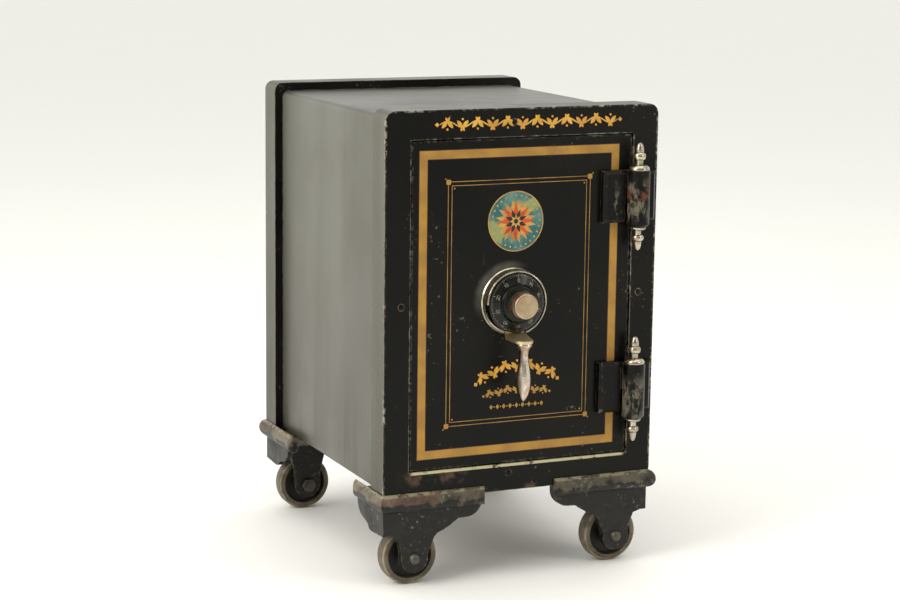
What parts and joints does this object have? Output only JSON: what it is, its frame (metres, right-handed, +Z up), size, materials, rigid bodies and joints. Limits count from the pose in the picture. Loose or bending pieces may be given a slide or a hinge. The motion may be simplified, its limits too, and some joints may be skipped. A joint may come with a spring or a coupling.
{
  "type": "safe",
  "caption": "Small antique fireproof floor safe with a hinged stepped door, combination dial, turning handle and corner shoes with iron wheels.",
  "frame": {"origin": "on the floor, under the middle of the outer box", "axes": "+Z up; the door faces -Y; +X towards the hinge side"},
  "size_m": [0.41, 0.5296, 0.64],
  "materials": {
    "black_paint": "black satin enamel with scuffs, chips and worn edges",
    "shell_paint": "black satin enamel, dull and lightly scuffed",
    "casting_paint": "black enamel on stepped castings, worn on the steps",
    "inner_paint": "oxide red enamel on the inside sheets",
    "fireproof_fill": "hard cement-like fireproof filling",
    "cabinet_wood": "varnished hardwood boards",
    "worn_iron": "cast iron with worn black paint and olive-brown bare beads",
    "wheel_iron": "cast iron worn bright-brown on the tread, dark in the recess",
    "dark_steel": "dull machined steel",
    "bright_steel": "turned steel",
    "nickel": "warm old nickel plate, slightly clouded",
    "black_dial": "glossy black enamel with engraved silver figures",
    "brass": "machined lock brass"
  },
  "bodies": {
    "safe_body": {"front_frame": "black_paint", "rear_frame": "black_paint", "outer_shell": "shell_paint", "back_plate": "black_paint", "jamb_frame": "casting_paint", "fireproof_lining": "fireproof_fill", "inner_box": "inner_paint", "frame_rivets": "black_paint", "rear_rivets": "black_paint", "cabinet_case": "cabinet_wood", "cabinet_shelf": "cabinet_wood", "cabinet_dividers": "cabinet_wood", "shoe_front_left": "worn_iron", "shoe_front_right": "worn_iron", "shoe_rear_left": "worn_iron", "shoe_rear_right": "worn_iron", "shoe_bolts": "dark_steel", "axle_bolts": "bright_steel", "axle_nuts": "dark_steel", "frame_hinge_upper": "black_paint", "frame_hinge_lower": "black_paint", "hinge_pin_upper": "bright_steel", "hinge_pin_lower": "bright_steel", "hinge_finials_upper": "nickel", "hinge_finials_lower": "nickel"},
    "door": {"door_plate": "black_paint", "door_casting": "casting_paint", "door_filling": "fireproof_fill", "door_inner_plate": "inner_paint", "inner_plate_screws": "brass", "door_hinge_upper": "black_paint", "door_hinge_lower": "black_paint", "dial_ring": "nickel", "hinge_side_dogs": "bright_steel", "bolt_guides": "dark_steel", "lock_case": "brass", "lock_cover": "brass", "lock_screws": "bright_steel"},
    "dial_and_spindle": {"dial": "black_dial", "dial_knob": "nickel", "dial_spindle": "bright_steel", "drive_cam": "brass"},
    "lock_wheel_first": {"lock_wheel_1": "brass"},
    "lock_wheel_second": {"lock_wheel_2": "brass"},
    "lock_wheel_third": {"lock_wheel_3": "brass"},
    "handle": {"handle_sleeve": "bright_steel", "handle_arm": "nickel", "handle_grip": "nickel", "handle_crank": "dark_steel"},
    "boltwork": {"bolt_bar": "dark_steel", "locking_bolts": "bright_steel"},
    "lock_bolt_and_lever": {"lock_bolt": "brass", "lock_lever": "brass"},
    "front_left_wheel": {"wheel_front_left": "wheel_iron"},
    "front_right_wheel": {"wheel_front_right": "wheel_iron"},
    "rear_left_wheel": {"wheel_rear_left": "wheel_iron"},
    "rear_right_wheel": {"wheel_rear_right": "wheel_iron"}
  },
  "joints": [
    {"name": "door_hinge", "type": "hinge", "parent": "safe_body", "child": "door", "pos_m": [0.1625, -0.23175, 0.3791], "axis": [0, 0, 1], "range_deg": [0, 170]},
    {"name": "dial_spin", "type": "hinge", "parent": "door", "child": "dial_and_spindle", "pos_m": [-0.0147, -0.23525, 0.3807], "axis": [0, 1, 0], "continuous": true},
    {"name": "lock_wheel_spin_1", "type": "hinge", "parent": "door", "child": "lock_wheel_first", "pos_m": [-0.0147, -0.14895, 0.3807], "axis": [0, 1, 0], "continuous": true},
    {"name": "lock_wheel_spin_2", "type": "hinge", "parent": "door", "child": "lock_wheel_second", "pos_m": [-0.0147, -0.14625, 0.3807], "axis": [0, 1, 0], "continuous": true},
    {"name": "lock_wheel_spin_3", "type": "hinge", "parent": "door", "child": "lock_wheel_third", "pos_m": [-0.0147, -0.14355, 0.3807], "axis": [0, 1, 0], "continuous": true},
    {"name": "handle_turn", "type": "hinge", "parent": "door", "child": "handle", "pos_m": [-0.0147, -0.22325, 0.3807], "axis": [0, 1, 0], "range_deg": [0, 60]},
    {"name": "bolt_slide", "type": "slide", "parent": "door", "child": "boltwork", "axis": [-1, 0, 0], "range_m": [0, 0.018]},
    {"name": "lock_bolt_slide", "type": "slide", "parent": "door", "child": "lock_bolt_and_lever", "axis": [-1, 0, 0], "range_m": [0, 0.008]},
    {"name": "front_left_wheel_spin", "type": "hinge", "parent": "safe_body", "child": "front_left_wheel", "pos_m": [-0.151, -0.18425, 0.0395], "axis": [0, 1, 0], "continuous": true},
    {"name": "front_right_wheel_spin", "type": "hinge", "parent": "safe_body", "child": "front_right_wheel", "pos_m": [0.151, -0.18425, 0.0395], "axis": [0, 1, 0], "continuous": true},
    {"name": "rear_left_wheel_spin", "type": "hinge", "parent": "safe_body", "child": "rear_left_wheel", "pos_m": [-0.151, 0.22375, 0.0395], "axis": [0, 1, 0], "continuous": true},
    {"name": "rear_right_wheel_spin", "type": "hinge", "parent": "safe_body", "child": "rear_right_wheel", "pos_m": [0.151, 0.22375, 0.0395], "axis": [0, 1, 0], "continuous": true}
  ],
  "couplings": [
    {"joint": "lock_wheel_spin_1", "follows": "dial_spin", "ratio": 1},
    {"joint": "lock_wheel_spin_2", "follows": "dial_spin", "ratio": 1},
    {"joint": "lock_wheel_spin_3", "follows": "dial_spin", "ratio": 1},
    {"joint": "bolt_slide", "follows": "handle_turn", "m_per_rad": 0.017189}
  ]
}
